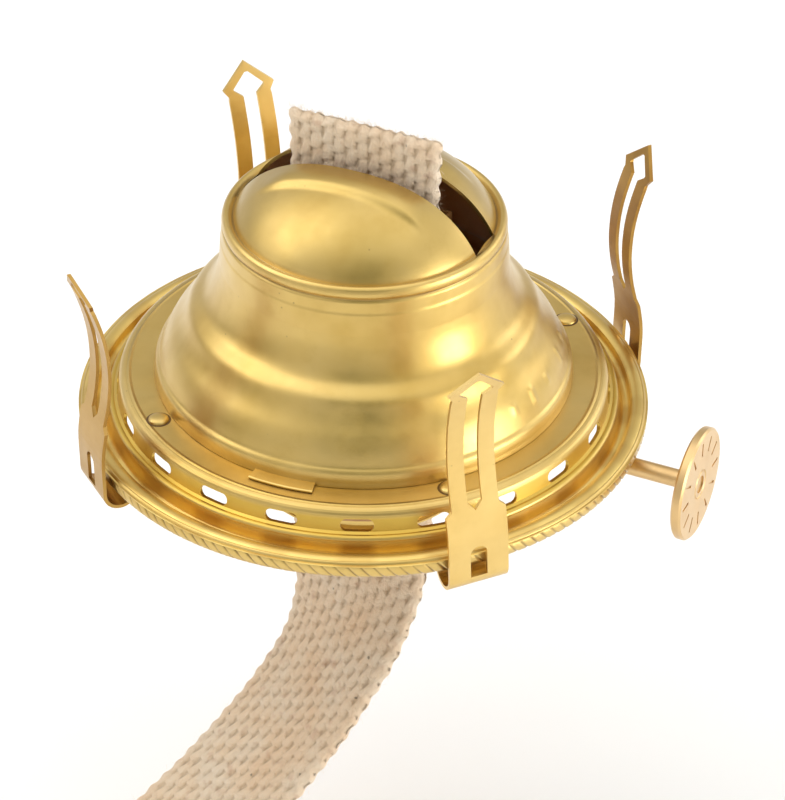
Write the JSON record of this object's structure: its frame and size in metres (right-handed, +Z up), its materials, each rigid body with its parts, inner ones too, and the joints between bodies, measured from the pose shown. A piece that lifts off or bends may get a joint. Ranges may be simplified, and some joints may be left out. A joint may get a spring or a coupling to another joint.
{
  "type": "oil lamp burner",
  "caption": "Flat-wick oil lamp burner with a screw collar, slotted cone, spring chimney prongs and a thumbwheel that feeds the wick.",
  "frame": {"origin": "centre of the collar's seat, the plane where the collar's flange meets the rim of a lamp's font", "axes": "+Z up along the collar's axis; +X along the wick's width, towards the thumbwheel; +Y away from the hanging end of the wick"},
  "size_m": [0.0899, 0.0941, 0.1271],
  "materials": {
    "brass": "satin",
    "spring_brass": "satin",
    "shaft_brass": "satin",
    "wick_cotton": "woven"
  },
  "bodies": {
    "burner": {"screw_collar": "brass", "floor_cup": "brass", "air_basket": "brass", "gallery": "brass", "deck_rivets": "brass", "air_plate": "brass", "wick_tube": "brass", "vent_tube": "brass", "spur_housing": "brass", "shaft_bush": "brass"},
    "feed": {"feed_shaft": "shaft_brass", "spur_wheel_1": "shaft_brass", "spur_wheel_2": "shaft_brass", "spur_wheel_3": "shaft_brass", "thumbwheel": "shaft_brass"},
    "wick_band": {"wick": "wick_cotton"},
    "cone": {"deflector_cone": "brass"},
    "back_right_prong": {"prong_back_right": "spring_brass"},
    "back_left_prong": {"prong_back_left": "spring_brass"},
    "front_left_prong": {"prong_front_left": "spring_brass"},
    "front_right_prong": {"prong_front_right": "spring_brass"}
  },
  "joints": [
    {"name": "shaft_turn", "type": "hinge", "parent": "burner", "child": "feed", "pos_m": [0, 0.006, 0.003], "axis": [-1, 0, 0], "range_deg": [-160, 75]},
    {"name": "wick_feed", "type": "slide", "parent": "burner", "child": "wick_band", "axis": [0, 0, 1], "range_m": [-0.0135, 0.0065]},
    {"name": "cone_lift", "type": "slide", "parent": "burner", "child": "cone", "axis": [0, 0, 1], "range_m": [0, 0.055]},
    {"name": "back_right_flex", "type": "hinge", "parent": "burner", "child": "back_right_prong", "pos_m": [0.02691, 0.02836, 0.007], "axis": [-0.7254, 0.6884, 0], "range_deg": [0, 8], "stiffness_Nm_per_rad": 1.5},
    {"name": "back_left_flex", "type": "hinge", "parent": "burner", "child": "back_left_prong", "pos_m": [-0.02836, 0.02691, 0.007], "axis": [-0.6884, -0.7254, 0], "range_deg": [0, 8], "stiffness_Nm_per_rad": 1.5},
    {"name": "front_left_flex", "type": "hinge", "parent": "burner", "child": "front_left_prong", "pos_m": [-0.02487, -0.03017, 0.007], "axis": [0.7716, -0.6361, 0], "range_deg": [0, 8], "stiffness_Nm_per_rad": 1.5},
    {"name": "front_right_flex", "type": "hinge", "parent": "burner", "child": "front_right_prong", "pos_m": [0.02836, -0.02691, 0.007], "axis": [0.6884, 0.7254, 0], "range_deg": [0, 8], "stiffness_Nm_per_rad": 1.5}
  ],
  "couplings": [
    {"joint": "wick_feed", "follows": "shaft_turn", "m_per_rad": 0.0048}
  ]
}
